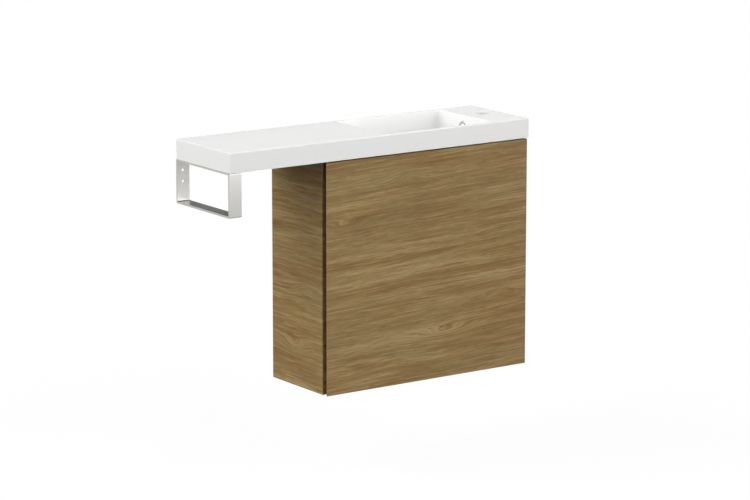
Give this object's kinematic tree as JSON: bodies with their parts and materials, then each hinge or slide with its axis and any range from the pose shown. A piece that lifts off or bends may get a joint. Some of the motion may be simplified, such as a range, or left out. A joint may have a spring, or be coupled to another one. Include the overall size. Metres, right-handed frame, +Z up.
{
  "type": "wall-hung vanity unit",
  "caption": "Slim wall-hung vanity: white top with shelf and sunk basin, cabinet with a side-hinged wood-grain door, towel bracket under the free end.",
  "frame": {"origin": "middle of the four wall screws that the cabinet hangs on, in the wall's plane", "axes": "+X to the right along the wall, +Y into the wall, +Z up"},
  "size_m": [0.9, 0.25, 0.642],
  "materials": {
    "white_top": "gloss white",
    "front_wood": "satin, horizontal grain",
    "side_wood": "satin, horizontal grain",
    "back_board": "smooth thin board",
    "bracket_metal": "satin",
    "chrome": "polished",
    "hinge_steel": "nickel plated",
    "zinc_steel": "zinc plated",
    "white_plastic": "moulded, slight gloss",
    "grey_plastic": "moulded, matt",
    "seal_rubber": "matt",
    "clear_silicone": "soft, translucent",
    "beech": "turned, ribbed"
  },
  "bodies": {
    "cabinet": {"washbasin_top": "white_top", "overflow_ring": "chrome", "overflow_elbow": "grey_plastic", "overflow_hose": "grey_plastic", "overflow_collar": "grey_plastic", "waste_body": "chrome", "waste_seals": "seal_rubber", "waste_nut": "white_plastic", "trap_nut": "white_plastic", "trap_inlet": "white_plastic", "trap_head": "white_plastic", "trap_cup": "white_plastic", "trap_outlet_pipe": "white_plastic", "trap_outlet_nut": "white_plastic", "towel_bracket": "bracket_metal", "bracket_screws": "zinc_steel", "side_panel_left": "side_wood", "side_panel_right": "side_wood", "bottom_panel": "side_wood", "back_panel": "back_board", "rear_rail_upper": "side_wood", "rear_rail_lower": "side_wood", "inner_shelf": "side_wood", "shelf_pins": "zinc_steel", "dowels": "beech", "cam_fittings": "zinc_steel", "cam_bolts": "zinc_steel", "silicone_beads": "clear_silicone", "door_buffers": "clear_silicone", "plate_screws": "zinc_steel", "arm_screws": "zinc_steel", "hanger_screws": "zinc_steel", "hinge_arm_lower": "hinge_steel", "mounting_plate_lower": "hinge_steel", "hinge_arm_upper": "hinge_steel", "mounting_plate_upper": "hinge_steel", "hanger_left": "white_plastic", "hanger_hook_left": "zinc_steel", "wall_plate_left": "zinc_steel", "hanger_right": "white_plastic", "hanger_hook_right": "zinc_steel", "wall_plate_right": "zinc_steel"},
    "door": {"door": "front_wood", "cup_screws": "zinc_steel", "hinge_cup_lower": "hinge_steel", "hinge_cup_upper": "hinge_steel", "hinge_pin_lower": "zinc_steel", "hinge_pin_upper": "zinc_steel"},
    "plug": {"waste_plug": "chrome"}
  },
  "joints": [
    {"name": "door_hinge", "type": "hinge", "parent": "cabinet", "child": "door", "pos_m": [0.301, -0.238, 0], "axis": [0, 0, 1], "range_deg": [0, 95]},
    {"name": "plug_lift", "type": "slide", "parent": "cabinet", "child": "plug", "axis": [0, 0, 1], "range_m": [0, 0.01]}
  ]
}
